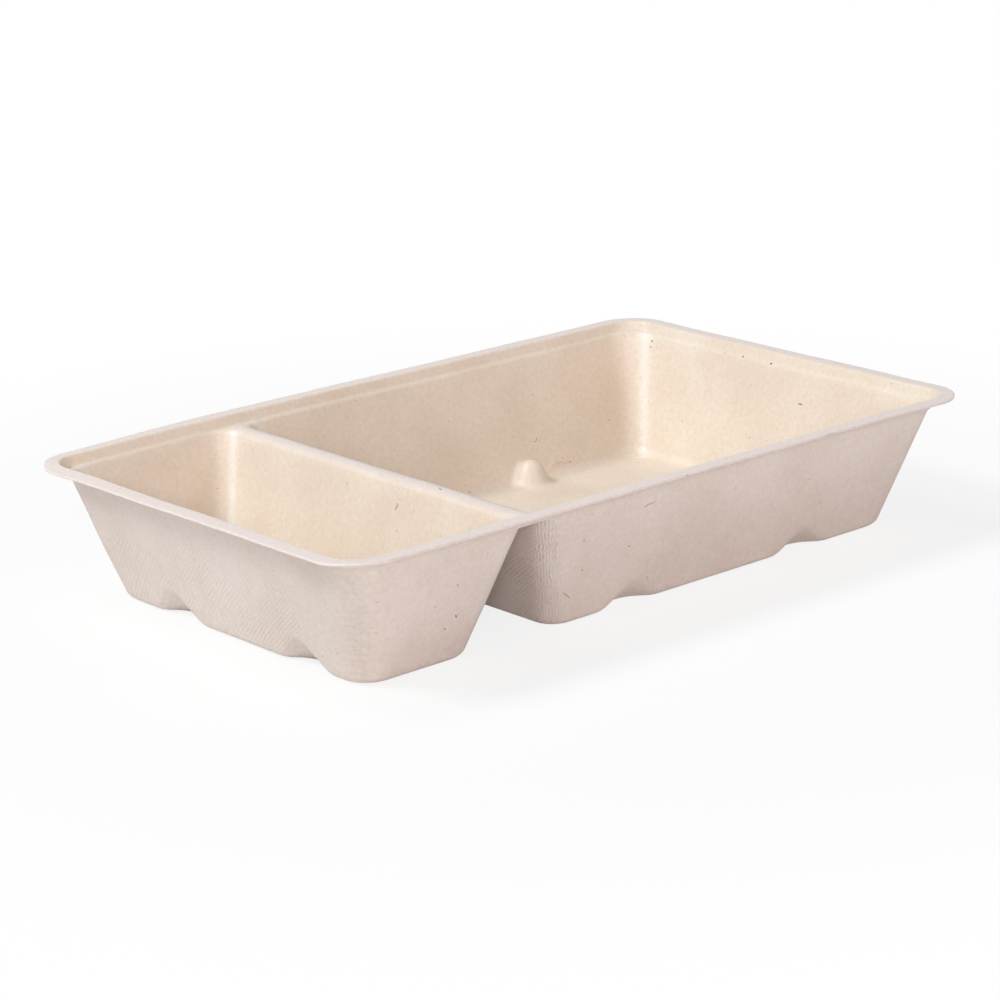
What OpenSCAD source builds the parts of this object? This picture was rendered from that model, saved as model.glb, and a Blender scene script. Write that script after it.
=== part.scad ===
// Two-compartment snack tray, pressed from sugar-cane fibre as one thin sheet.
// Frame: X along the length with the small compartment at -X, Y across, +Z up,
// origin under the middle of the tray at the level of its feet. Millimetres.

/* [Tray] */
// Length over the rim
tray_l = 230; // [200:1:260]
// Width over the rim
tray_w = 140; // [120:1:160]
// Height from the feet to the top of the rim
tray_h = 39; // [32:0.5:46]
// Thickness of the pressed sheet
wall = 0.9; // [0.6:0.05:1.2]

/* [Rim] */
// Corner radius of the rim outline
rim_r = 13; // [10:0.5:16]
// Width of the flat flange
flange_w = 3.6; // [2.5:0.1:4.5]
// Depth from the flange down to the lid ledge
step_h = 3; // [2.5:0.1:4]
// Lean of the step wall from upright, in degrees
step_draft = 12; // [5:1:20]
// Width of the lid ledge
ledge_w = 2.4; // [2.3:0.1:4]
// Rounding of the flange's inner edge and of the foot of the step
step_r = 1.2; // [0.9:0.1:1.4]

/* [Compartments] */
// Distance from the left end to the middle of the divider
divider_x = 67; // [60:0.5:90]
// Width of the divider's crest, between the two mouths
crest_w = 6.4; // [5:0.1:12]
// Lean of the compartment walls from upright, in degrees
draft = 18; // [12:0.5:21]
// Corner radius of a compartment at the tray's end
end_corner_r = 9.5; // [7:0.5:12]
// Corner radius of a compartment at the divider
divider_corner_r = 6; // [5:0.5:10]
// Rounding of the mouth's edge
mouth_edge_r = 1.8; // [1.3:0.1:2]
// Fillet between wall and floor, inside
floor_fillet_in = 5; // [4:0.5:7]
// Fillet between wall and floor, outside
floor_fillet_out = 3; // [2.5:0.5:6]

/* [Stacking lugs] */
// Radius of a lug at the foot
lug_r = 8; // [6:0.5:9]
// Radius of a lug's rounded top
lug_top_r = 3; // [2:0.5:4]
// Height of a lug
lug_h = 8; // [7:0.5:10]
// How far a lug's axis stands inside the foot of the wall
lug_in = 0; // [-1:0.1:1]
// Distance between the two lugs of the end wall
end_lug_pitch = 53.5; // [36:0.5:64]
// How far the end wall's lugs are set towards the front from the middle
end_lug_shift = 3; // [0:0.5:5]
// Distance between the two lugs of a long wall of the large compartment
side_lug_pitch = 67; // [50:1:80]
// How far the front wall's lugs are set towards the divider from the middle
front_lug_shift = 4; // [0:0.5:12]
// How far the back wall's lugs are set towards the divider from the middle
back_lug_shift = 12.5; // [0:0.5:14]

/* [Hidden] */

// Steps in a quarter turn of a corner, in a rounding and in a floor fillet
corner_steps = 8;
edge_steps = 3;
fillet_steps = 5;
// Facets round a lug
lug_fn = 24;
// Overlap between forms that are joined or cut
overlap = 0.4;

fibre = [0.87, 0.80, 0.75];
half_l = tray_l / 2;
half_w = tray_w / 2;
ledge_z = tray_h - step_h;
// Distance of a compartment's mouth from the rim outline
mouth_in = flange_w + step_h * tan(step_draft) + ledge_w;
crest_mid = divider_x - half_l;

// Mouths of the small and the large compartment, as [x low, x high, y low, y high]
small_mouth = [mouth_in - half_l, crest_mid - crest_w / 2, mouth_in - half_w, half_w - mouth_in];
large_mouth = [crest_mid + crest_w / 2, half_l - mouth_in, mouth_in - half_w, half_w - mouth_in];
rim_outline = [-half_l, half_l, -half_w, half_w];
// Their corner radii, as [at the low x, at the high x]
small_corners = [end_corner_r, divider_corner_r];
large_corners = [divider_corner_r, end_corner_r];
rim_corners = [rim_r, rim_r];

// Distance from a mouth in to the outer foot line of its walls, and to a lug's axis
foot_in = ledge_z * tan(draft) - wall / cos(draft);
lug_axis_in = foot_in + lug_in;

function heading(angle) = [cos(angle), sin(angle)];

// A rounded turn of a section line, at corner p, from heading a to heading b
function turn(p, a, b, r, steps) =
    let (side = sign(b - a))
    let (centre = p - r * tan(abs(b - a) / 2) * heading(a) + r * heading(a + 90 * side))
    [for (k = [0:steps]) centre + r * heading(a - 90 * side + (b - a) * k / steps)];

// Section of a compartment, from its mouth to its floor, as [inset, height] points.
// off is how far the line lies below the sheet's upper face, fillet its floor fillet.
function pocket_section(off, fillet) =
    let (down = draft - 90)
    let (shift = off / cos(draft))
    let (mouth = [off * tan(draft) - shift, ledge_z - off])
    let (foot = [(ledge_z - wall + off) * tan(draft) - shift, wall - off])
    concat(
        turn(mouth, 0, down, max(mouth_edge_r - off, overlap), edge_steps),
        turn(foot, down, 0, fillet, fillet_steps)
    );

// Section of the rim's step, from the flange in to the ledge
function step_section(off) =
    let (down = step_draft - 90)
    let (shift = off / cos(step_draft))
    let (top = [flange_w + off * tan(step_draft) - shift, tray_h - off])
    let (foot = [flange_w + (step_h + off) * tan(step_draft) - shift, ledge_z - off])
    let (foot_r = step_r + off)
    concat(
        turn(top, 0, down, max(step_r - off, overlap / 2), edge_steps),
        turn(foot, down, 0, foot_r, edge_steps)
    );

// A level rounded rectangle, set in from the box by the given amount
function outline(box, inset, corners, z) =
    let (r = [corners[1], corners[0], corners[0], corners[1]])
    let (x = [for (q = [0:3]) q == 0 || q == 3 ? box[1] - inset - r[q] : box[0] + inset + r[q]])
    let (y = [for (q = [0:3]) q < 2 ? box[3] - inset - r[q] : box[2] + inset + r[q]])
    [for (q = [0:3]) for (k = [0:corner_steps])
        let (p = [x[q], y[q]] + r[q] * heading(90 * q + 90 * k / corner_steps)) [p[0], p[1], z]];

// A solid through a stack of outlines, from the highest to the lowest
module loft(outlines) {
    n = len(outlines[0]);
    last = len(outlines) - 1;
    sides = [for (s = [0:last - 1]) for (k = [0:n - 1])
        [s * n + k, s * n + (k + 1) % n, (s + 1) * n + (k + 1) % n, (s + 1) * n + k]];
    top = [for (k = [n - 1:-1:0]) k];
    bottom = [for (k = [0:n - 1]) last * n + k];
    polyhedron([for (o = outlines) each o], concat(sides, [top, bottom]));
}

// The corner radii of an outline, each grown by grow
function grown(corners, grow) = [for (r = corners) r + grow];

// A compartment as a solid form, continued upwards by rise above its mouth
module pocket(mouth, corners, off, fillet, rise) {
    section = pocket_section(off, fillet);
    first = section[0];
    points = concat([[first[0], first[1] + rise]], section);
    loft([for (p = points) outline(mouth, p[0], grown(corners, off), p[1])]);
}

// Both compartments as solid forms
module pockets(off, fillet, rise) {
    pocket(small_mouth, small_corners, off, fillet, rise);
    pocket(large_mouth, large_corners, off, fillet, rise);
}

// The rim's step as a solid form, continued upwards by rise above the flange
module step(off, rise) {
    section = step_section(off);
    first = section[0];
    points = concat([[first[0], first[1] + rise]], section);
    loft([for (p = points) outline(rim_outline, p[0], grown(rim_corners, -p[0]), p[1])]);
}

module flange() {
    loft([for (z = [tray_h, tray_h - wall]) outline(rim_outline, 0, rim_corners, z)]);
}

// Half section of a lug grown by grow: a cone whose side runs on into its rounded top
function lug_section(grow) =
    let (foot_r = lug_r + grow, top_r = lug_top_r + grow, rise = lug_h - lug_top_r)
    let (start = acos(top_r / norm([foot_r, rise])) - atan(rise / foot_r))
    concat(
        [[0, -overlap], [foot_r, -overlap], [foot_r, 0]],
        [for (k = [0:fillet_steps])
            [0, rise] + top_r * heading(start + (90 - start) * k / fillet_steps)]
    );

// A rounded cone that the sheet is pushed in over
module lug(grow) {
    rotate_extrude($fn = lug_fn) polygon(lug_section(grow));
}

// All the lugs: two in the end wall, two in the front wall and two in the back wall
module lugs(grow) {
    end_x = small_mouth[0] + lug_axis_in;
    front_y = large_mouth[2] + lug_axis_in;
    back_y = large_mouth[3] - lug_axis_in;
    large_mid = (large_mouth[0] + large_mouth[1]) / 2;
    for (side = [-1, 1]) {
        side_x = large_mid + side * side_lug_pitch / 2;
        translate([end_x, side * end_lug_pitch / 2 - end_lug_shift, 0]) lug(grow);
        translate([side_x - front_lug_shift, front_y, 0]) lug(grow);
        translate([side_x - back_lug_shift, back_y, 0]) lug(grow);
    }
}

// Everything under the sheet's lower face is outside this form
module outer_form() {
    flange();
    step(wall, wall / 2);
    difference() {
        pockets(wall, floor_fillet_out, wall / 2);
        lugs(0);
    }
}

// The room above the sheet's upper face
module inner_form() {
    step(0, overlap);
    difference() {
        pockets(0, floor_fillet_in, overlap);
        lugs(wall);
    }
}

module tray() {
    color(fibre)
    difference() {
        outer_form();
        inner_form();
    }
}

tray();
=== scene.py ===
import math

import bmesh
import bpy
import numpy as np
from mathutils import Matrix, Vector
from mathutils.bvhtree import BVHTree
from mathutils.geometry import delaunay_2d_cdt


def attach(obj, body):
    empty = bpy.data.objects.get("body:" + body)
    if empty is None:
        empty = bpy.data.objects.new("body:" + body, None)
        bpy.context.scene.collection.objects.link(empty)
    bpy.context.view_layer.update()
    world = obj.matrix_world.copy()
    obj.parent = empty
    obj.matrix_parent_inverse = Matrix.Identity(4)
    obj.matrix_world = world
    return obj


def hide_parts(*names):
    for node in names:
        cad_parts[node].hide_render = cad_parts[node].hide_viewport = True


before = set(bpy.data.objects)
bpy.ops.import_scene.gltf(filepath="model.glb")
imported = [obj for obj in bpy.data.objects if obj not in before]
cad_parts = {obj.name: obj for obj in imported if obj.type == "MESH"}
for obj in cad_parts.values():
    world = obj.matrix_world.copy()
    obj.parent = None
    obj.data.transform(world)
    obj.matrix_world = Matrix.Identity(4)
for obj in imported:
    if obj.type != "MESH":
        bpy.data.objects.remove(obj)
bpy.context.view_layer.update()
MM = 0.001

# Tray: outer sizes, thickness of the sheet, divider, and lean of the walls in degrees
TRAY_L, TRAY_W, TRAY_H = 230.0, 140.0, 39.0
WALL = 0.9
DIVIDER_X, CREST_W = 67.0, 6.4
DRAFT = 18.0

# Rim: corner radius, flange, step, and roundings of the step at the flange and at the ledge
RIM_R, FLANGE_W = 13.0, 4.5
STEP_H, STEP_DRAFT = 3.0, 22.0
STEP_TOP_R, STEP_FOOT_R = 1.0, 0.5
# Ledge: width, where its slope begins and ends, its drop, and how far up and down the slope is felt
LEDGE_W = 0.93
LEDGE_SLOPE = (5.2, 7.0)
LEDGE_DROP, LEDGE_FEEL = 0.9, 1.2
# Gap between the hollow under the flange and the edge of the mouth below it
HOLLOW_GAP = 0.08

# Upright corners at the tray's ends and at the divider, and how much tighter they are at the foot
END_CORNER_R, DIVIDER_CORNER_R = 9.5, 6.0
END_CORNER_TAPER, DIVIDER_CORNER_TAPER = 3.0, 1.0
LEAST_CORNER_R = 0.6
# Roundings on the upper and the lower face: the edge of the mouth, and the foot of the wall
MOUTH_EDGE_RS = (0.8, 0.08)
FLOOR_FILLETS = (3.2, 3.0)

# Lugs: radius at the foot, radius of the rounded top, height, how far the axis stands in from the
# foot of the wall, and the rounding where the lug runs into the sheet on the upper and lower face
END_LUG = (11.0, 6.0, 7.9, -5.2, (3.0, 2.0))
FRONT_LUG = (11.3, 6.0, 7.5, -5.6, (3.0, 2.0))
BACK_LUG = (5.8, 3.2, 7.2, 2.0, (3.0, 2.0))
END_LUG_PITCH, END_LUG_SHIFT = 53.5, 3.0
SIDE_LUG_PITCH, FRONT_LUG_SHIFT, BACK_LUG_SHIFT = 67.0, 4.0, 13.7
# A lug pushes the sheet away from a point that lies this far out from its axis, at this height.
# The push is felt this far to the sides and this high up.
PUSH_OUT, PUSH_Z = 6.0, -4.0
PUSH_REACH, PUSH_TOP = 26.0, 24.0
PUSH_LONGEST, PUSH_HALVINGS = 40.0, 40

# Cut edge: how far it stays back, how ragged it is, and one nick at the front with its depth on the
# upper and the lower face
EDGE_BACK, EDGE_RAGGED, EDGE_WAVES = 0.12, 0.08, (3.4, 6.0, 23.0)
NICK_X, NICK_W, NICK_DEPTHS = 54.6, 1.3, (0.5, 1.4)

# Droop of the rim at the back left corner and at the right end: how far, how much more at the edge,
# and its spread along X and Y
BACK_LEFT_DROP, BACK_LEFT_EDGE_DROP, BACK_LEFT_SPREAD = 0.7, 0.5, (30.0, 22.0)
RIGHT_DROP, RIGHT_EDGE_DROP, RIGHT_SPREAD = 0.25, 0.1, (14.0, 42.0)
RIGHT_DROP_Y = -50.0
# How far the back left corner is drawn in, the left and front edges tip down, and the crest is crowned
BACK_LEFT_IN = 1.2
EDGE_TIP_W, LEFT_EDGE_TIP, FRONT_EDGE_TIP = 4.8, 0.35, 0.15
CROWN = 0.55
# How far the foot of the back wall is drawn in, around which place, and over what spread
BACK_FOOT_IN, BACK_FOOT_X, BACK_FOOT_SPREAD = 2.0, 64.0, 34.0
# Slight waves of the rim and of the walls: size and lengths
RIM_WAVE, RIM_WAVES = 0.10, (38.0, 61.0)
WALL_WAVE, WALL_WAVES = 0.07, (17.0, 29.0)

# Mesh: spacing near a lug and elsewhere, how near is near, and steps in roundings and sides
FINE, COARSE = 0.75, 2.4
FINE_REACH = 13.0
WALL_SPACINGS = [1.5] + [COARSE] * 6 + [1.6] * 2 + [FINE] * 60
EDGE_STEPS, STEP_FOOT_STEPS, HOLLOW_STEPS = 6, 5, 10
CORNER_STEPS, RIM_CORNER_STEPS = 12, 14
RIM_SIDE_STEPS = (170, 95, 170, 95)
FLOOR_GRID, CREST_GRID = 4.0, 2.5

# Camera, in millimetres, degrees and pixels of a picture of 1000 x 1000
PICTURE = 1000
CAM_F = 3041.8
CAM_AZ, CAM_EL, CAM_ROLL = -41.456, 16.807, -1.298
CAM_AT = (513.14, 557.9)
CAM_DEPTH = 855.52

az, el, roll = (math.radians(a) for a in (CAM_AZ, CAM_EL, CAM_ROLL))
back = np.array([math.sin(az) * math.cos(el), -math.cos(az) * math.cos(el), math.sin(el)])
level = np.cross(-back, [0.0, 0.0, 1.0])
level /= np.linalg.norm(level)
upright = np.cross(level, -back)
right = math.cos(roll) * level + math.sin(roll) * upright
up = math.cos(roll) * upright - math.sin(roll) * level
aside = (CAM_AT[0] - PICTURE / 2) * CAM_DEPTH / CAM_F
below = (CAM_AT[1] - PICTURE / 2) * CAM_DEPTH / CAM_F
eye = back * CAM_DEPTH - right * aside + up * below

half_l, half_w = TRAY_L / 2, TRAY_W / 2
ledge_z = TRAY_H - STEP_H
tan_draft, cos_draft = math.tan(math.radians(DRAFT)), math.cos(math.radians(DRAFT))
step_in = FLANGE_W + STEP_H * math.tan(math.radians(STEP_DRAFT))
mouth_in = step_in + LEDGE_W
crest_mid = DIVIDER_X - half_l
# Outlines as (x low, x high, y low, y high)
rim_box = (-half_l, half_l, -half_w, half_w)
small_box = (mouth_in - half_l, crest_mid - CREST_W / 2, mouth_in - half_w, half_w - mouth_in)
large_box = (crest_mid + CREST_W / 2, half_l - mouth_in, mouth_in - half_w, half_w - mouth_in)
foot_in = ledge_z * tan_draft - WALL / cos_draft
large_mid = (large_box[0] + large_box[1]) / 2

# Compartments: outline, corner radii at its low and high x, how far the rings of its floor reach in,
# and how the forming screen folded at its upright corners, from the back right one on: above zero
# are upright pleats, and below zero short rungs
POCKETS = (
    (small_box, (END_CORNER_R, DIVIDER_CORNER_R), 9.0, (0.3, 0.5, -1.0, 0.3)),
    (large_box, (DIVIDER_CORNER_R, END_CORNER_R), 9.5, (0.4, 0.5, 1.0, 0.4)),
)


def smoothstep(low, high, value):
    t = np.clip((value - low) / (high - low), 0.0, 1.0)
    return t * t * (3.0 - 2.0 * t)


def bell(dx, dy, spread):
    """A smooth hump of height one, with its spread along X and Y."""
    return np.exp(-(dx ** 2 / (2 * spread[0] ** 2) + dy ** 2 / (2 * spread[1] ** 2)))


def heading(angle):
    return np.array([math.cos(math.radians(angle)), math.sin(math.radians(angle))])


def turn(corner, a, b, r, steps):
    """A rounded turn of a section line, at a corner, from heading a to heading b."""
    side = math.copysign(1.0, b - a)
    reach = r * math.tan(math.radians(abs(b - a) / 2))
    centre = np.array(corner) - reach * heading(a) + r * heading(a + 90 * side)
    return [centre + r * heading(a - 90 * side + (b - a) * k / steps) for k in range(steps + 1)]


def between(p, q, spacings):
    """Points between p and q, spaced by the given spacings in turn, without the ends."""
    p, q = np.array(p), np.array(q)
    length = np.linalg.norm(q - p)
    spots = np.cumsum(spacings)
    spots = spots[spots < length - 0.4 * spacings[-1]]
    return [p + (q - p) * s / length for s in spots]


def slope_ledge(inset, z):
    """The ledge's height once its outer part is raised and its inner part lowered."""
    across = float(smoothstep(*LEDGE_SLOPE, inset)) - 0.5
    return z - LEDGE_DROP * across * math.exp(-(((z - ledge_z) / LEDGE_FEEL) ** 2))


def upper_rim_section():
    """Section of the rim's upper face: cut edge, flange and step, in to the ledge."""
    down = STEP_DRAFT - 90
    points = [(0.0, TRAY_H - 0.25), (0.05, TRAY_H - 0.09), (0.2, TRAY_H)]
    points += [(inset, TRAY_H) for inset in (0.9, 1.8, 2.7)]
    step = turn((FLANGE_W, TRAY_H), 0, down, STEP_TOP_R, EDGE_STEPS)
    step += turn((step_in, ledge_z), down, 0, STEP_FOOT_R, STEP_FOOT_STEPS)
    return points + [(p[0], slope_ledge(p[0], p[1])) for p in step]


def lower_rim_section():
    """Section of the rim's lower face: a thin edge, and one hollow round that runs on into the wall."""
    low = TRAY_H - WALL
    points = [(0.0, low + 0.42), (0.05, low + 0.28), (0.25, low + 0.17), (0.9, low + 0.06)]
    r = STEP_H / (1.0 - math.sin(math.radians(DRAFT)))
    start = mouth_in + WALL * tan_draft - WALL / cos_draft - HOLLOW_GAP - r * cos_draft
    turns = [math.radians((90 - DRAFT) * k / HOLLOW_STEPS) for k in range(HOLLOW_STEPS + 1)]
    return points + [(start + r * math.sin(t), low - r * (1.0 - math.cos(t))) for t in turns]


def pocket_section(side, floor_reach):
    """Section of a compartment from its mouth to its floor, as (inset, height, corner cut)."""
    off = (0.0, WALL)[side]
    down = DRAFT - 90
    shift = off / cos_draft
    mouth = (off * tan_draft - shift, ledge_z - off)
    foot = ((ledge_z - WALL + off) * tan_draft - shift, WALL - off)
    top = turn(mouth, 0, down, MOUTH_EDGE_RS[side], EDGE_STEPS)
    low = turn(foot, down, 0, FLOOR_FILLETS[side], EDGE_STEPS)
    wall = between(top[-1], low[0], WALL_SPACINGS)
    points = [(p[0], p[1], 0.0) for p in top + wall + low]
    last = low[-1]
    steps = round(floor_reach / FINE)
    for k in range(1, steps + 1):
        inward = floor_reach * k / steps
        points.append((last[0] + inward, last[1], inward))
    return points


def side_steps(length, marks):
    """Shares of a straight side's length, closer together near the marks along it."""
    s = np.linspace(0.0, length, 3000)
    near = np.zeros_like(s)
    for m in marks:
        near = np.maximum(near, np.exp(-(((s - m) / FINE_REACH) ** 4)))
    count = np.concatenate([[0.0], np.cumsum(np.diff(s) / (COARSE + (FINE - COARSE) * near)[1:])])
    n = max(2, round(count[-1]))
    return np.interp(np.arange(1, n) * count[-1] / n, count, s) / length


def outline(box, inset, corners, z, sides, arc):
    """A level rounded rectangle as points, with steps on its straight sides."""
    r = [corners[1], corners[0], corners[0], corners[1]]
    x = [box[1] - inset - r[0], box[0] + inset + r[1], box[0] + inset + r[2], box[1] - inset - r[3]]
    y = [box[3] - inset - r[0], box[3] - inset - r[1], box[2] + inset + r[2], box[2] + inset + r[3]]
    arcs = []
    for q in range(4):
        centre = np.array([x[q], y[q]])
        arcs.append([centre + r[q] * heading(90 * q + 90 * k / arc) for k in range(arc + 1)])
    points = []
    for q in range(4):
        points += arcs[q]
        start, end = arcs[q][-1], arcs[(q + 1) % 4][0]
        points += [start + (end - start) * t for t in sides[q]]
    return np.array([[p[0], p[1], z] for p in points])


def lug_list():
    """The lugs in their places: the axis, the way out of the tray there, and the kind."""
    lugs = []
    for side in (-1, 1):
        y = side * END_LUG_PITCH / 2 - END_LUG_SHIFT
        lugs.append((small_box[0] + foot_in + END_LUG[3], y, (-1.0, 0.0), END_LUG))
        x = large_mid + side * SIDE_LUG_PITCH / 2
        lugs.append((x - FRONT_LUG_SHIFT, large_box[2] + foot_in + FRONT_LUG[3], (0.0, -1.0), FRONT_LUG))
        lugs.append((x - BACK_LUG_SHIFT, large_box[3] - foot_in - BACK_LUG[3], (0.0, 1.0), BACK_LUG))
    return lugs


LUGS = lug_list()


def lug_distance(rho, z, kind, grow):
    """Distance outside a lug, a cone that runs on into its rounded top."""
    foot_r, top_r, rise = kind[0] + grow, kind[1] + grow, kind[2] - kind[1]
    start = math.acos(top_r / math.hypot(foot_r, rise)) - math.atan(rise / foot_r)
    cone = (rho - foot_r) * math.cos(start) + z * math.sin(start)
    ball = np.hypot(rho, z - rise) - top_r
    return np.where(np.arctan2(z - rise, rho) > start, ball, cone)


def push_lugs(points, side):
    """The sheet's points, pushed out along rays from under each lug until they clear it."""
    grow = (WALL, 0.0)[side]
    out = points.copy()
    for ax, ay, (ox, oy), kind in LUGS:
        blend = kind[4][side]
        centre = np.array([ax + PUSH_OUT * ox, ay + PUSH_OUT * oy, PUSH_Z])
        near = np.hypot(out[:, 0] - ax, out[:, 1] - ay) < PUSH_REACH
        near &= out[:, 2] < PUSH_TOP
        ray = out[near] - centre
        reach = np.linalg.norm(ray, axis=1)
        ray /= reach[:, None]
        low, high = np.zeros_like(reach), np.full_like(reach, PUSH_LONGEST)
        for _ in range(PUSH_HALVINGS):
            mid = (low + high) / 2
            p = centre + ray * mid[:, None]
            within = lug_distance(np.hypot(p[:, 0] - ax, p[:, 1] - ay), p[:, 2], kind, grow) < 0
            low, high = np.where(within, mid, low), np.where(within, high, mid)
        soft = np.maximum(blend - np.abs(reach - low), 0.0)
        pushed = np.maximum(reach, low) + soft * soft / (4.0 * blend)
        out[near] = centre + ray * pushed[:, None]
    return out


def swell(points, seed, lengths, size):
    """A smooth uneven field over the points, made of waves of the given lengths."""
    waves = np.random.default_rng(seed)
    total = np.zeros(len(points))
    for length in lengths:
        for _ in range(3):
            way = waves.normal(size=3)
            way /= np.linalg.norm(way)
            total += np.sin(points @ way * (2 * math.pi / length) + waves.uniform(0, 2 * math.pi))
    return size * total / (3 * len(lengths)) ** 0.5


def settle(points):
    """The unevenness of a pressed sheet: a rim not quite level, and walls not quite flat."""
    p = points.copy()
    x, y, z = points.T
    high = smoothstep(10.0, 37.0, z)
    rim = smoothstep(6.0, 0.0, np.minimum(half_l - np.abs(x), half_w - np.abs(y)))
    # Rim drooping at the back left corner and at the right end
    back_left = bell(x + half_l, y - half_w, BACK_LEFT_SPREAD)
    right_end = bell(x - half_l, y - RIGHT_DROP_Y, RIGHT_SPREAD)
    drop = -BACK_LEFT_DROP * back_left - RIGHT_DROP * right_end
    drop = drop - rim * (BACK_LEFT_EDGE_DROP * back_left + RIGHT_EDGE_DROP * right_end)
    p[:, 2] += high * (drop + swell(points, 3, RIM_WAVES, RIM_WAVE))
    p[:, 0] += BACK_LEFT_IN * high * back_left * smoothstep(-80.0, -112.0, x)
    # Flange tipping down at the left and front edges
    by_left_edge = smoothstep(EDGE_TIP_W, 0.0, x + half_l) * smoothstep(72.0, 58.0, np.abs(y))
    by_front_edge = smoothstep(EDGE_TIP_W, 0.0, y + half_w) * smoothstep(114.0, 100.0, np.abs(x))
    p[:, 2] -= LEFT_EDGE_TIP * by_left_edge + FRONT_EDGE_TIP * by_front_edge
    # Crest rounded off to both sides
    off_crest = np.abs(x - crest_mid)
    crown = smoothstep(0.6, 3.6, off_crest) * (off_crest < 12.0) * smoothstep(29.0, 35.5, z)
    p[:, 2] -= CROWN * crown * smoothstep(67.0, 57.0, np.abs(y))
    # Back wall leaning in at the foot
    by_back_wall = smoothstep(24.0, 50.0, y) * np.clip(1.0 - z / ledge_z, 0.0, 1.0)
    p[:, 1] -= BACK_FOOT_IN * by_back_wall * np.exp(-(((x - BACK_FOOT_X) / BACK_FOOT_SPREAD) ** 2))
    # Slight waves above the feet
    body = smoothstep(0.0, 6.0, z) * (1.0 - 0.6 * rim)
    p[:, 0] += body * swell(points, 11, WALL_WAVES, WALL_WAVE)
    p[:, 1] += body * swell(points, 12, WALL_WAVES, WALL_WAVE)
    return p


def lengths_along(points):
    gaps = np.linalg.norm(np.diff(np.vstack([points, points[:1]]), axis=0), axis=1)
    return np.concatenate([[0.0], np.cumsum(gaps)])


class Sheet:
    """The tray's skin as it is gathered: points, faces, their side and their place on the sheet."""

    def __init__(self):
        self.points, self.faces, self.sides, self.places = [], [], [], []
        self.folds, self.painted_top_lights = [], []

    # rim is each point's share of painted top light; corner marks hold the screen's folds on the lower face
    # and a painted highlight on the upper face
    def add(self, points, folds=None, rim=0.0):
        first = len(self.points)
        self.points += [tuple(p) for p in points]
        self.folds += [0.0] * len(points) if folds is None else folds
        self.painted_top_lights += [rim] * len(points)
        return list(range(first, first + len(points)))

    def loft(self, upper, lower, along, v0, v1, side):
        n = len(upper)
        for k in range(n):
            j = (k + 1) % n
            u0, u1 = along[k], along[k + 1]
            self.faces.append((upper[k], upper[j], lower[j], lower[k]))
            self.places.append(((u0, v0), (u1, v0), (u1, v1), (u0, v1)))
            self.sides.append(side)

    def lay_rings(self, section, side, ring_at):
        """Rings down a section, each joined to the last. ring_at gives points, corner marks and the share
        of painted top light.
        """
        rings, v = [], 0.0
        for k, place in enumerate(section):
            points, folds, rim = ring_at(*place)
            if k == 0:
                along = lengths_along(points)
            rings.append(self.add(points, folds, rim))
            if k > 0:
                step = math.dist(place[:2], section[k - 1][:2])
                self.loft(rings[-2], rings[-1], along, v, v + step, side)
                v += step
        return rings, along

    def fill(self, rings, extra, keep, side):
        """A level field between rings of points, with extra points inside it."""
        index = [i for ring in rings for i in ring] + extra
        flat = [Vector(self.points[i][:2]) for i in index]
        edges, first = [], 0
        for ring in rings:
            n = len(ring)
            edges += [(first + k, first + (k + 1) % n) for k in range(n)]
            first += n
        _, _, tris, origin, _, _ = delaunay_2d_cdt(flat, edges, [], 0, 1e-5)
        for tri in tris:
            corner = [index[origin[k][0]] for k in tri]
            at = [self.points[i] for i in corner]
            if keep(sum(p[0] for p in at) / 3, sum(p[1] for p in at) / 3):
                self.faces.append(tuple(corner))
                self.places.append(tuple((p[0], p[1]) for p in at))
                self.sides.append(side)


def in_box(x, y, box, inset, corners):
    """True inside a rounded rectangle."""
    r = corners[0] if x < (box[0] + box[1]) / 2 else corners[1]
    dx = max(box[0] + inset + r - x, x - (box[1] - inset - r), 0.0)
    dy = max(box[2] + inset + r - y, y - (box[3] - inset - r), 0.0)
    within = box[0] + inset < x < box[1] - inset and box[2] + inset < y < box[3] - inset
    return within and math.hypot(dx, dy) <= r


def rim_edge(points, depth, nick_depth):
    """The cut edge of the flange: slightly ragged, with one nick at the front."""
    p = points.copy()
    out = np.zeros_like(p)
    out[:, 0] = np.sign(p[:, 0]) * (np.abs(p[:, 0]) > half_l - RIM_R)
    out[:, 1] = np.sign(p[:, 1]) * (np.abs(p[:, 1]) > half_w - RIM_R)
    out /= np.maximum(np.linalg.norm(out, axis=1), 1e-9)[:, None]
    ragged = -EDGE_BACK + swell(points, 21, EDGE_WAVES, EDGE_RAGGED)
    nick = np.exp(-(((p[:, 0] - NICK_X) / NICK_W) ** 2)) * (p[:, 1] < 0)
    return p + out * (depth * (np.minimum(ragged, 0.0) - nick_depth * nick))[:, None]


def taper(corner_r):
    return END_CORNER_TAPER if corner_r == END_CORNER_R else DIVIDER_CORNER_TAPER


def corner_weights(sides, weight_at):
    """A weight for each point of an outline: weight_at(corner, degrees) in corners, none on sides."""
    weights = []
    for q, side in enumerate(sides):
        weights += [weight_at(q, 90.0 * k / CORNER_STEPS) for k in range(CORNER_STEPS + 1)]
        weights += [0.0] * len(side)
    return weights


def pocket_sides(box, corners):
    """Steps along the four sides of a compartment, closer together by its lugs."""
    x0, x1, y0, y1 = box[0] + foot_in, box[1] - foot_in, box[2] + foot_in, box[3] - foot_in
    low, high = corners
    marks = [[], [], [], []]
    for ax, ay, out, _ in LUGS:
        if not box[0] < ax < box[1]:
            continue
        if out[1] > 0:
            marks[0].append(x1 - high - ax)
        elif out[0] < 0:
            marks[1].append(y1 - low - ay)
        else:
            marks[2].append(ax - x0 - low)
    runs = [x1 - x0 - low - high, y1 - y0 - 2 * low, x1 - x0 - low - high, y1 - y0 - 2 * high]
    return [side_steps(run, m) for run, m in zip(runs, marks)]


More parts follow.
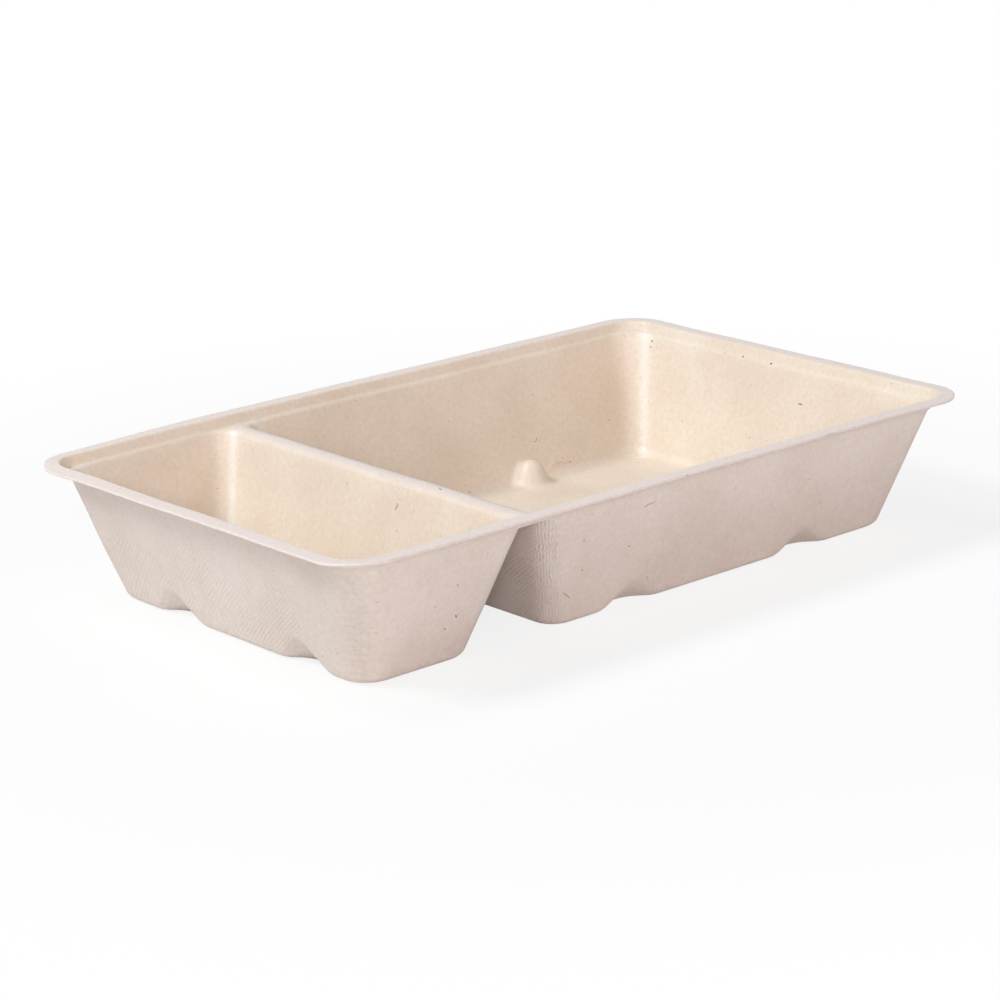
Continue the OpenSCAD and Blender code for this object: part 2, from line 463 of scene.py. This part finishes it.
def lay_rim(sheet, side):
    """Flange and step of one face. Gives its outer ring, lengths along that, and its inner ring."""
    section = (upper_rim_section, lower_rim_section)[side]()
    painted_light_end = (FLANGE_W - 0.1, 1.2)[side]
    inner_end = section[-1][0]
    straights = [np.arange(1, n) / n for n in RIM_SIDE_STEPS]

    def ring_at(inset, z):
        r = RIM_R - inset
        if side == 1:
            r += float(smoothstep(1.8, inner_end, inset)) * (END_CORNER_R - r)
        points = outline(rim_box, inset, (r, r), z, straights, RIM_CORNER_STEPS)
        points = rim_edge(points, float(smoothstep(2.4, 0.0, inset)), NICK_DEPTHS[side])
        # The third value is the share of the rim's painted top light.
        return points, None, float(smoothstep(painted_light_end, painted_light_end - 0.7, inset))

    rings, along = sheet.lay_rings(section, side, ring_at)
    return rings[0], along, rings[-1]


def lay_pocket(sheet, side, box, corners, reach, folds):
    """One face of a compartment. Gives its ring at the mouth, how far in that lies, and its radii."""
    off = (0.0, WALL)[side]
    section = pocket_section(side, reach)
    sides = pocket_sides(box, corners)

    def folded(corner, degrees):
        """Folds of the screen, most in the middle of a corner."""
        return folds[corner] * math.sin(math.radians(2.0 * degrees))

    def painted_highlight(_, degrees):
        """Painted highlight on the upper face, towards one end of a corner."""
        return math.exp(-(((degrees - 16.0) / 15.0) ** 2))

    def ring_at(inset, z, cut):
        depth = min((ledge_z - z) / ledge_z, 1.0)
        if side == 0:
            z = slope_ledge(mouth_in + inset, z)
        radii = tuple(max(r + off - cut - depth * taper(r), LEAST_CORNER_R) for r in corners)
        points = push_lugs(outline(box, inset, radii, z, sides, CORNER_STEPS), side)
        # On the upper face these weights are a painted highlight, on the lower face the screen's folds
        weights = corner_weights(sides, (painted_highlight, folded)[side]) if cut == 0 else None
        return points, weights, 0.0

    rings, _ = sheet.lay_rings(section, side, ring_at)
    inset, z, _ = section[-1]
    x = np.arange(box[0] + inset + 2.5, box[1] - inset - 2.0, FLOOR_GRID)
    y = np.arange(box[2] + inset + 2.5, box[3] - inset - 2.0, FLOOR_GRID)
    floor_points = sheet.add([(a, b, z) for a in x for b in y])
    sheet.fill([rings[-1]], floor_points, lambda *_: True, side)
    return rings[0], section[0][0], tuple(r + off for r in corners)


def build_skin():
    """Both faces of the sheet, joined at the cut edge."""
    sheet = Sheet()
    edges = []
    for side in (0, 1):
        edge, along, ledge = lay_rim(sheet, side)
        edges.append((edge, along))
        mouths = [(pocket[0], *lay_pocket(sheet, side, *pocket)) for pocket in POCKETS]

        # The level field of ledge and crest between the step and the two mouths
        crest_z = ledge_z - (0.0, WALL)[side]
        crest_y = np.arange(-62, 62.1, CREST_GRID)
        # The crest takes the rim's painted top light in full.
        crest = sheet.add([(crest_mid + dx, b, crest_z) for dx in (-0.7, 0.7) for b in crest_y], rim=1.0)

        def on_ledge(x, y):
            return not any(in_box(x, y, box, inset, radii) for box, _, inset, radii in mouths)

        sheet.fill([ledge] + [mouth[1] for mouth in mouths], crest, on_ledge, side)

    (upper, along), (lower, _) = edges
    sheet.loft(upper, lower, along, 0.0, WALL, 0)
    return sheet


def crest_painted_top_light(points):
    """How much of the rim's painted top light a point of the crest has."""
    x, y, z = points.T
    on_crest = 0.7 * smoothstep(3.6, 1.6, np.abs(x - crest_mid)) * smoothstep(34.6, 35.2, z)
    return on_crest * smoothstep(64.0, 61.0, np.abs(y))


def make_object(name, points, faces, materials):
    mesh = bpy.data.meshes.new(name)
    mesh.from_pydata([tuple(p) for p in np.asarray(points) * MM], [], faces)
    for material in materials:
        mesh.materials.append(material)
    obj = bpy.data.objects.new(name, mesh)
    bpy.context.scene.collection.objects.link(obj)
    return obj


def face_outward(obj):
    work = bmesh.new()
    work.from_mesh(obj.data)
    bmesh.ops.recalc_face_normals(work, faces=work.faces)
    work.to_mesh(obj.data)
    work.free()


class Nodes:
    """Short calls for building a node tree."""

    def __init__(self, tree):
        self.tree = tree
        tree.nodes.clear()

    def new(self, kind, **values):
        node = self.tree.nodes.new(kind)
        for key, value in values.items():
            setattr(node, key, value)
        return node

    def put(self, node, **sockets):
        """Sets sockets by name, with _ for a blank, or by number as i0, i1 and so on."""
        for key, value in sockets.items():
            numbered = key[0] == "i" and key[1:].isdigit()
            socket = node.inputs[int(key[1:]) if numbered else key.replace("_", " ")]
            if isinstance(value, bpy.types.NodeSocket):
                self.tree.links.new(value, socket)
            else:
                socket.default_value = value
        return node

    def math(self, operation, a, b=None):
        node = self.new("ShaderNodeMath", operation=operation)
        self.put(node, i0=a)
        if b is not None:
            self.put(node, i1=b)
        return node.outputs[0]

    def add(self, a, b):
        return self.math("ADD", a, b)

    def times(self, a, b):
        return self.math("MULTIPLY", a, b)

    def noise(self, vector, scale, detail=2.0, roughness=0.5):
        node = self.new("ShaderNodeTexNoise")
        self.put(node, Vector=vector, Scale=scale, Detail=detail, Roughness=roughness)
        return node.outputs["Fac"]

    def ramp(self, value, low, high, to_low=0.0, to_high=1.0):
        node = self.new("ShaderNodeMapRange", interpolation_type="SMOOTHSTEP")
        self.put(node, Value=value, From_Min=low, From_Max=high, To_Min=to_low, To_Max=to_high)
        return node.outputs[0]

    def mix(self, factor, a, b):
        node = self.new("ShaderNodeMix", data_type="RGBA")
        self.put(node, i0=factor, i6=a, i7=b)
        return node.outputs[2]

    def scaled(self, vector, size):
        node = self.new("ShaderNodeVectorMath", operation="MULTIPLY")
        self.put(node, i0=vector, i1=size)
        return node.outputs[0]

    def split(self, vector):
        node = self.new("ShaderNodeSeparateXYZ")
        self.put(node, Vector=vector)
        return node.outputs

    def split_colour(self, colour):
        node = self.new("ShaderNodeSeparateColor")
        self.put(node, Color=colour)
        return node.outputs

    def attribute(self, name):
        return self.new("ShaderNodeAttribute", attribute_name=name).outputs["Fac"]

    def wave(self, value, length):
        return self.math("SINE", self.times(value, 2 * math.pi / length))

    def shaken(self, vector, scale, size):
        """The vector, moved about by a noise of the given scale and size."""
        noise = self.new("ShaderNodeTexNoise")
        self.put(noise, Vector=vector, Scale=scale, Detail=2.0)
        node = self.new("ShaderNodeVectorMath", operation="MULTIPLY_ADD")
        self.put(node, i0=noise.outputs["Color"], i1=(size, size, size), i2=vector)
        return node.outputs[0]

    def seen(self):
        """One for what is seen straight, mirrored or through something, and zero for light."""
        path = self.new("ShaderNodeLightPath")
        straight, mirrored = path.outputs["Is Camera Ray"], path.outputs["Is Glossy Ray"]
        either = self.math("MAXIMUM", straight, mirrored)
        return self.math("MAXIMUM", either, path.outputs["Is Transmission Ray"])

    def finish(self, shader, kind="ShaderNodeOutputMaterial"):
        self.put(self.new(kind), Surface=shader.outputs[0])


def new_material(name):
    material = bpy.data.materials.new(name)
    material.use_nodes = True
    return material, Nodes(material.node_tree)


def srgb(r, g, b):
    """A colour given in 8-bit display values, as linear values."""
    def lin(c):
        c /= 255
        return c / 12.92 if c <= 0.04045 else ((c + 0.055) / 1.055) ** 2.4
    return (lin(r), lin(g), lin(b), 1.0)


WHITE = (1.0, 1.0, 1.0, 1.0)
# The sheet's colours: pale and deep pulp on both faces, the outer face's set darker as painted shade, a
# painted top light on the rim and crest, a painted highlight in the corners, the dark and light felt, and
# the flecks
INSIDE_PULP = (srgb(235, 222, 207), srgb(229, 213, 197))
# The outer face's pulp is set darker than the inner's, as painted shade.
SHADED_OUTSIDE_PULP = (srgb(228, 217, 210), srgb(221, 208, 200))
PAINTED_TOP_LIGHT_TINT = srgb(233, 220, 215)
PAINTED_HIGHLIGHT_TINT = srgb(246, 243, 237)
DARK_FELT, LIGHT_FELT = srgb(178, 152, 135), srgb(250, 243, 234)
FLECK = srgb(132, 102, 80)
# Flecks: stretch and size of their cells, share of cells that have none, and strength
FLECKS = (
    ((1.0, 1.0, 0.4), 2.6, 0.76, 0.55),
    ((0.4, 0.5, 1.0), 2.3, 0.76, 0.45),
    ((1.0, 0.8, 1.0), 1.3, 0.70, 0.20),
)
# Relief in millimetres: the grain, the screen's threads both ways, and its folds at the corners
GRAIN = 0.060
THREAD, CROSS_THREAD = 0.060, 0.028
PLEAT, RUNG = 0.085, 0.150
# Distances in millimetres from one to the next
THREAD_PITCH, CROSS_THREAD_PITCH = 1.15, 1.35
PLEAT_PITCH, RUNG_PITCH, BEND_PITCH = 0.92, 2.2, 2.9
# Directions across the two sets of threads, along the tray's outline and down its wall
THREAD_WAY, CROSS_THREAD_WAY = (0.64, 0.77), (0.80, -0.60)


def felted(n, at, colour):
    """The colour with felted fibres and brown flecks over it."""
    felt = n.noise(n.shaken(at, 260.0, 0.0012), 760.0, 4.0, 0.62)
    colour = n.mix(n.ramp(felt, 0.36, 0.74, 0.0, 0.15), colour, DARK_FELT)
    colour = n.mix(n.ramp(felt, 0.42, 0.24, 0.0, 0.20), colour, LIGHT_FELT)
    for stretch, size, share, strength in FLECKS:
        cells = n.new("ShaderNodeTexVoronoi", feature="F1")
        bent = n.scaled(n.shaken(at, 1500.0, 0.0006), stretch)
        n.put(cells, Vector=bent, Scale=1.0 / (size * MM), Randomness=1.0)
        chance, shade, _ = n.split_colour(cells.outputs["Color"])
        spot = n.ramp(cells.outputs["Distance"], 0.03, 0.11, 1.0, 0.0)
        spot = n.times(spot, n.ramp(chance, share, share + 0.04))
        spot = n.times(spot, n.ramp(shade, 0.0, 1.0, 0.2 * strength, strength))
        colour = n.mix(spot, colour, FLECK)
    return colour


def screen_print(n, at, uv, fold):
    """Relief that the forming screen leaves: threads both ways, pleats and rungs at folded corners."""
    u, v, _ = n.split(uv)
    _, _, z = n.split(at)
    drift = n.times(n.noise(at, 150.0, 2.0), 1.2)

    def threads(way, pitch):
        place = n.add(n.times(u, way[0]), n.times(v, way[1]))
        return n.wave(n.add(place, drift), pitch)

    strokes = n.ramp(n.noise(at, 430.0, 2.0), 0.37, 0.60, 0.15, 1.0)
    cloth = n.times(n.times(threads(THREAD_WAY, THREAD_PITCH), strokes), THREAD)
    cloth = n.add(cloth, n.times(threads(CROSS_THREAD_WAY, CROSS_THREAD_PITCH), CROSS_THREAD))
    patchy = n.ramp(n.noise(at, 34.0, 2.0), 0.40, 0.58, 0.10, 1.0)
    towards_foot = n.ramp(z, 0.006, 0.034, 1.0, 0.35)
    cloth = n.times(cloth, n.times(patchy, towards_foot))

    bend = n.times(n.wave(n.add(v, n.times(drift, 2.0)), BEND_PITCH), 0.10)
    sway = n.add(n.times(n.noise(at, 300.0, 3.0), 1.5), bend)
    broken = n.ramp(n.noise(at, 560.0, 3.0), 0.36, 0.60, 0.15, 1.0)
    pleats = n.times(n.wave(n.add(u, sway), PLEAT_PITCH), broken)
    pleats = n.times(pleats, n.ramp(fold, 0.05, 0.80, 0.0, PLEAT))
    rungs = n.wave(n.add(v, n.times(n.noise(at, 420.0, 2.0), 1.8)), RUNG_PITCH)
    rungs = n.times(n.times(rungs, broken), n.ramp(fold, -0.35, -1.0, 0.0, RUNG))
    return n.add(cloth, n.add(pleats, rungs))


def bagasse(name, pulp, roughness, gloss, printed):
    """Pressed sugar-cane fibre: cloudy, felted and flecked, with a painted top light on rim and crest, and
    printed by the forming screen or smooth with a painted highlight in its corners.
    """
    material, n = new_material(name)
    coords = n.new("ShaderNodeTexCoord")
    at, uv = coords.outputs["Object"], coords.outputs["UV"]
    fold = n.attribute("fold")
    colour = n.mix(n.ramp(n.noise(at, 42.0, 3.0), 0.3, 0.7), *pulp)
    # Painted top light: a cool pale tint on the flange, its edge and the crest
    colour = n.mix(n.attribute("rim"), colour, PAINTED_TOP_LIGHT_TINT)
    grain = n.noise(at, 1350.0, 4.0, 0.68)
    height = n.times(grain, GRAIN)
    if printed:
        height = n.add(height, screen_print(n, at, uv, fold))
    else:
        # Painted highlight: a paler strip in the corners of the upper face
        colour = n.mix(n.times(fold, 0.60), colour, PAINTED_HIGHLIGHT_TINT)
    bump = n.new("ShaderNodeBump")
    n.put(bump, Strength=1.0, Distance=MM, Height=height)
    shader = n.new("ShaderNodeBsdfPrincipled")
    n.put(shader, Base_Color=felted(n, at, colour), Normal=bump.outputs[0], Specular_IOR_Level=gloss)
    n.put(shader, Roughness=n.ramp(grain, 0.3, 0.7, roughness - 0.06, roughness + 0.06))
    n.finish(shader)
    return material


def fibre_material(name, pale, deep):
    material, n = new_material(name)
    at = n.new("ShaderNodeTexCoord").outputs["Object"]
    colour = n.mix(n.ramp(n.noise(at, 420.0, 3.0), 0.35, 0.65), pale, deep)
    shader = n.new("ShaderNodeBsdfPrincipled")
    n.put(shader, Base_Color=colour, Roughness=0.7, Specular_IOR_Level=0.3)
    n.finish(shader)
    return material


# The sheet
inside = bagasse("bagasse_inside", INSIDE_PULP, 0.42, 0.5, False)
outside = bagasse("bagasse_outside", SHADED_OUTSIDE_PULP, 0.78, 0.3, True)
skin = build_skin()
flat_points = np.array(skin.points)
# Painted top light on the flange, its edge and the crest
painted_top_lights = np.maximum(skin.painted_top_lights, crest_painted_top_light(flat_points))
tray = make_object("tray_sheet", settle(flat_points), skin.faces, (inside, outside))
layer = tray.data.uv_layers.new(name="sheet_mm")
tray.data.attributes.new("fold", "FLOAT", "POINT").data.foreach_set("value", skin.folds)
tray.data.attributes.new("rim", "FLOAT", "POINT").data.foreach_set("value", painted_top_lights.tolist())
for face, places, side in zip(tray.data.polygons, skin.places, skin.sides):
    face.material_index = side
    face.use_smooth = True
    for loop, place in zip(face.loop_indices, places):
        layer.data[loop].uv = place
face_outward(tray)
tray.data.set_sharp_from_angle(angle=math.radians(50))
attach(tray, "root")
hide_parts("tray")


class Strands:
    """Thin strands of cane, half sunk in the sheet, gathered as one mesh."""

    # Points round a strand, and steps along a scattered one and from knot to knot of a curve
    AROUND, STEPS, CURVE_STEPS = 6, 7, 6
    # Scattered strands: least length, mean of what is added to it, greatest length, radii and bend
    SHORTEST, MEAN_MORE, LONGEST = 0.5, 0.75, 3.2
    THINNEST, THICKEST = 0.04, 0.09
    BEND = 0.25
    # Shares of straw, cane and bark
    SHARES = (0.57, 0.38, 0.05)

    def __init__(self, sheet):
        self.points, self.faces, self.kinds = [], [], []
        self.rng = np.random.default_rng(7)
        self.corners = np.array([v.co for v in sheet.data.vertices]) / MM
        self.polygons = [tuple(f.vertices) for f in sheet.data.polygons]
        self.normals = np.array([f.normal for f in sheet.data.polygons])
        self.areas = np.array([f.area for f in sheet.data.polygons])
        self.tree = BVHTree.FromPolygons([tuple(c) for c in self.corners], self.polygons)

    def seen_at(self, px, py):
        """The point and normal of the sheet that the camera sees at a pixel."""
        way = right * (px - PICTURE / 2) / CAM_F - up * (py - PICTURE / 2) / CAM_F - back
        spot, _, face, _ = self.tree.ray_cast(Vector(eye), Vector(way / np.linalg.norm(way)))
        return np.array(spot), self.normals[face]

    def lay(self, spots, radius, kind):
        """A strand through the given (point, normal) spots, thinner towards both ends."""
        path = np.array([p for p, _ in spots])
        first = len(self.points)
        last = len(path) - 1
        for k, (p, normal) in enumerate(spots):
            tangent = path[min(k + 1, last)] - path[max(k - 1, 0)]
            tangent /= np.linalg.norm(tangent)
            across = np.cross(tangent, normal)
            across /= max(np.linalg.norm(across), 1e-9)
            r = radius * (1.0 - 0.8 * abs(2.0 * k / last - 1.0) ** 3)
            for j in range(self.AROUND):
                side, rise = heading(360.0 * j / self.AROUND)
                self.points.append(p + r * (side * across + (0.55 * rise + 0.1) * normal))
        for k in range(last):
            for j in range(self.AROUND):
                a, b = first + k * self.AROUND, first + (k + 1) * self.AROUND
                i = (j + 1) % self.AROUND
                self.faces.append((a + j, a + i, b + i, b + j))
                self.kinds.append(kind)
        for k in (0, last):
            self.faces.append(tuple(first + k * self.AROUND + j for j in range(self.AROUND)))
            self.kinds.append(kind)

    def curve(self, kind, radius, *pixels):
        """A strand along a line of pixels, smoothed, on the sheet seen behind it."""
        last = len(pixels) - 1
        t = np.linspace(0.0, last, self.CURVE_STEPS * last + 1)
        knots = np.arange(len(pixels))
        line = np.stack([np.interp(t, knots, [q[k] for q in pixels]) for k in (0, 1)], 1)
        for _ in range(self.CURVE_STEPS):
            line[1:-1] = (line[:-2] + 2.0 * line[1:-1] + line[2:]) / 4.0
        self.lay([self.seen_at(*q) for q in line], radius, kind)

    def scatter(self, count):
        """Short strands all over the sheet, on both of its faces."""
        rng = self.rng
        chosen = rng.choice(len(self.areas), size=count, p=self.areas / self.areas.sum())
        for face in chosen:
            p = self.corners[list(self.polygons[face])].mean(0)
            normal = self.normals[face]
            way = np.cross(normal, rng.normal(size=3))
            length = min(self.SHORTEST + rng.exponential(self.MEAN_MORE), self.LONGEST)
            radius = rng.uniform(self.THINNEST, self.THICKEST)
            bend = rng.normal(0.0, self.BEND)
            kind = int(rng.choice(len(self.SHARES), p=self.SHARES))
            spots = []
            for _ in range(self.STEPS):
                spot, _, near, _ = self.tree.find_nearest(Vector(p))
                if np.dot(self.normals[near], normal) < 0.5:
                    break
                p, normal = np.array(spot), self.normals[near]
                spots.append((p, normal))
                way = way - np.dot(way, normal) * normal + bend * np.cross(normal, way)
                way /= np.linalg.norm(way)
                p = p + way * length / self.STEPS
            if len(spots) > 3:
                self.lay(spots, radius, kind)


STRAW, CANE, BARK = 0, 1, 2
cane_kinds = (
    fibre_material("cane_straw", srgb(240, 225, 208), srgb(230, 212, 192)),
    fibre_material("cane_brown", srgb(190, 168, 148), srgb(172, 150, 130)),
    fibre_material("cane_bark", srgb(150, 124, 104), srgb(130, 106, 88)),
)
strands = Strands(tray)
strands.scatter(420)
# A crease beside the inner bump, and its dark end
strands.curve(STRAW, 0.42, (550, 471), (549, 466.5), (552, 464), (558, 462), (570, 461.5))
strands.curve(CANE, 0.22, (569, 462), (571, 461.6))
strands.curve(STRAW, 0.12, (557, 466.5), (562, 464.5), (568, 463))
# Strands inside the small compartment and on the divider
strands.curve(BARK, 0.13, (397, 502.5), (397.5, 506), (394.5, 510.5))
strands.curve(BARK, 0.16, (438.5, 488.5), (442, 490))
strands.curve(CANE, 0.14, (468, 491.3), (471.5, 492.5))
# Strands on the front of the large compartment
strands.curve(CANE, 0.16, (562.5, 592.5), (566, 594.8), (570.5, 598.5))
strands.curve(CANE, 0.16, (643.5, 508), (649, 504), (656, 501.5))
# Specks inside the right end
strands.curve(BARK, 0.26, (770, 363.3), (772.3, 364))
strands.curve(BARK, 0.22, (742, 356.3), (744, 357))
strands.curve(CANE, 0.28, (798, 403.6), (802.5, 404.5))
strands.curve(BARK, 0.24, (651.2, 341.8), (653, 340.6))
strands.curve(BARK, 0.2, (650, 347.5), (651.2, 346.6))
# Specks on the front of both compartments
strands.curve(BARK, 0.22, (455.5, 615), (456.6, 617.5))
strands.curve(CANE, 0.18, (457.3, 584), (458.3, 586.5))
strands.curve(CANE, 0.2, (444, 628), (445.6, 630.2))
strands.curve(CANE, 0.17, (628, 545.6), (630.2, 546.6))
strands.curve(CANE, 0.18, (646, 577), (648.2, 577.6))
strands.curve(CANE, 0.17, (581.4, 569.4), (583, 571))
fibres = make_object("fibres", strands.points, strands.faces, cane_kinds)
for face, kind in zip(fibres.data.polygons, strands.kinds):
    face.material_index = kind
    face.use_smooth = True
face_outward(fibres)
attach(fibres, "root")

# Floor that the tray stands on: white from a little way off, with the tray's soft shadow
FLOOR_HALF = 4000
FLOOR_GREY = (0.9, 0.9, 0.9, 1.0)


def floor_material():
    material, n = new_material("pale_floor")
    far = n.new("ShaderNodeVectorMath", operation="LENGTH")
    n.put(far, i0=n.new("ShaderNodeNewGeometry").outputs["Position"])
    white = n.ramp(far.outputs["Value"], 0.15, 0.30, 0.82, 1.0)
    matte = n.new("ShaderNodeBsdfDiffuse")
    n.put(matte, Color=FLOOR_GREY)
    glow = n.new("ShaderNodeEmission")
    n.put(glow, Color=WHITE, Strength=1.0)
    mixed = n.new("ShaderNodeMixShader")
    n.put(mixed, i0=n.times(n.seen(), white), i1=matte.outputs[0], i2=glow.outputs[0])
    n.finish(mixed)
    return material


floor_corners = [(FLOOR_HALF * x, FLOOR_HALF * y, 0) for x, y in ((-1, -1), (1, -1), (1, 1), (-1, 1))]
floor = make_object("floor", floor_corners, [(0, 1, 2, 3)], (floor_material(),))

# Light: faint even light from all round, and five soft lamps. The world is seen as white.
WORLD_TINT, WORLD_LIGHT = (1.0, 0.965, 0.955, 1.0), 0.15
LAMP_AIM = Vector((0.0, 0.0, 0.02))
LAMP_AWAY = 2.6

world = bpy.data.worlds.new("studio")
bpy.context.scene.world = world
world.use_nodes = True
world_nodes = Nodes(world.node_tree)
sky = world_nodes.new("ShaderNodeBackground")
sky_seen = world_nodes.seen()
world_nodes.put(sky, Color=world_nodes.mix(sky_seen, WORLD_TINT, WHITE))
world_nodes.put(sky, Strength=world_nodes.ramp(sky_seen, 0.0, 1.0, WORLD_LIGHT, 1.0))
world_nodes.finish(sky, "ShaderNodeOutputWorld")


def lamp(name, bearing, height, size, power, tint):
    """A round lamp at a bearing from +X and a height above the floor, both in degrees."""
    data = bpy.data.lights.new(name, "AREA")
    data.shape = "DISK"
    data.size = size
    data.energy = power
    data.color = tint
    obj = bpy.data.objects.new(name, data)
    bpy.context.scene.collection.objects.link(obj)
    across, rise = LAMP_AWAY * heading(height)
    east, north = across * heading(bearing)
    away = Vector((east, north, rise))
    aimed = (-away).to_track_quat("-Z", "Y").to_matrix().to_4x4()
    obj.matrix_world = Matrix.Translation(LAMP_AIM + away) @ aimed


lamp("front_left", 230, 20, 0.65, 19.5, (1.0, 0.92, 0.895))
lamp("left", 155, 47, 0.80, 39.4, (0.945, 1.0, 1.005))
lamp("back_high", 125, 66, 1.0, 14.8, (0.955, 1.0, 0.99))
lamp("front_low", 268, 8, 0.55, 9.6, (1.0, 0.88, 0.855))
lamp("right", 300, 26, 1.0, 6.9, (1.0, 0.90, 0.88))

# Camera
lens = bpy.data.cameras.new("camera")
lens.sensor_width = 36.0
lens.lens = lens.sensor_width * CAM_F / PICTURE
camera = bpy.data.objects.new("camera", lens)
bpy.context.scene.collection.objects.link(camera)
camera.matrix_world = Matrix([[right[k], up[k], back[k], eye[k] * MM] for k in range(3)] + [[0, 0, 0, 1]])
bpy.context.scene.camera = camera
bpy.context.scene.view_settings.view_transform = "Standard"
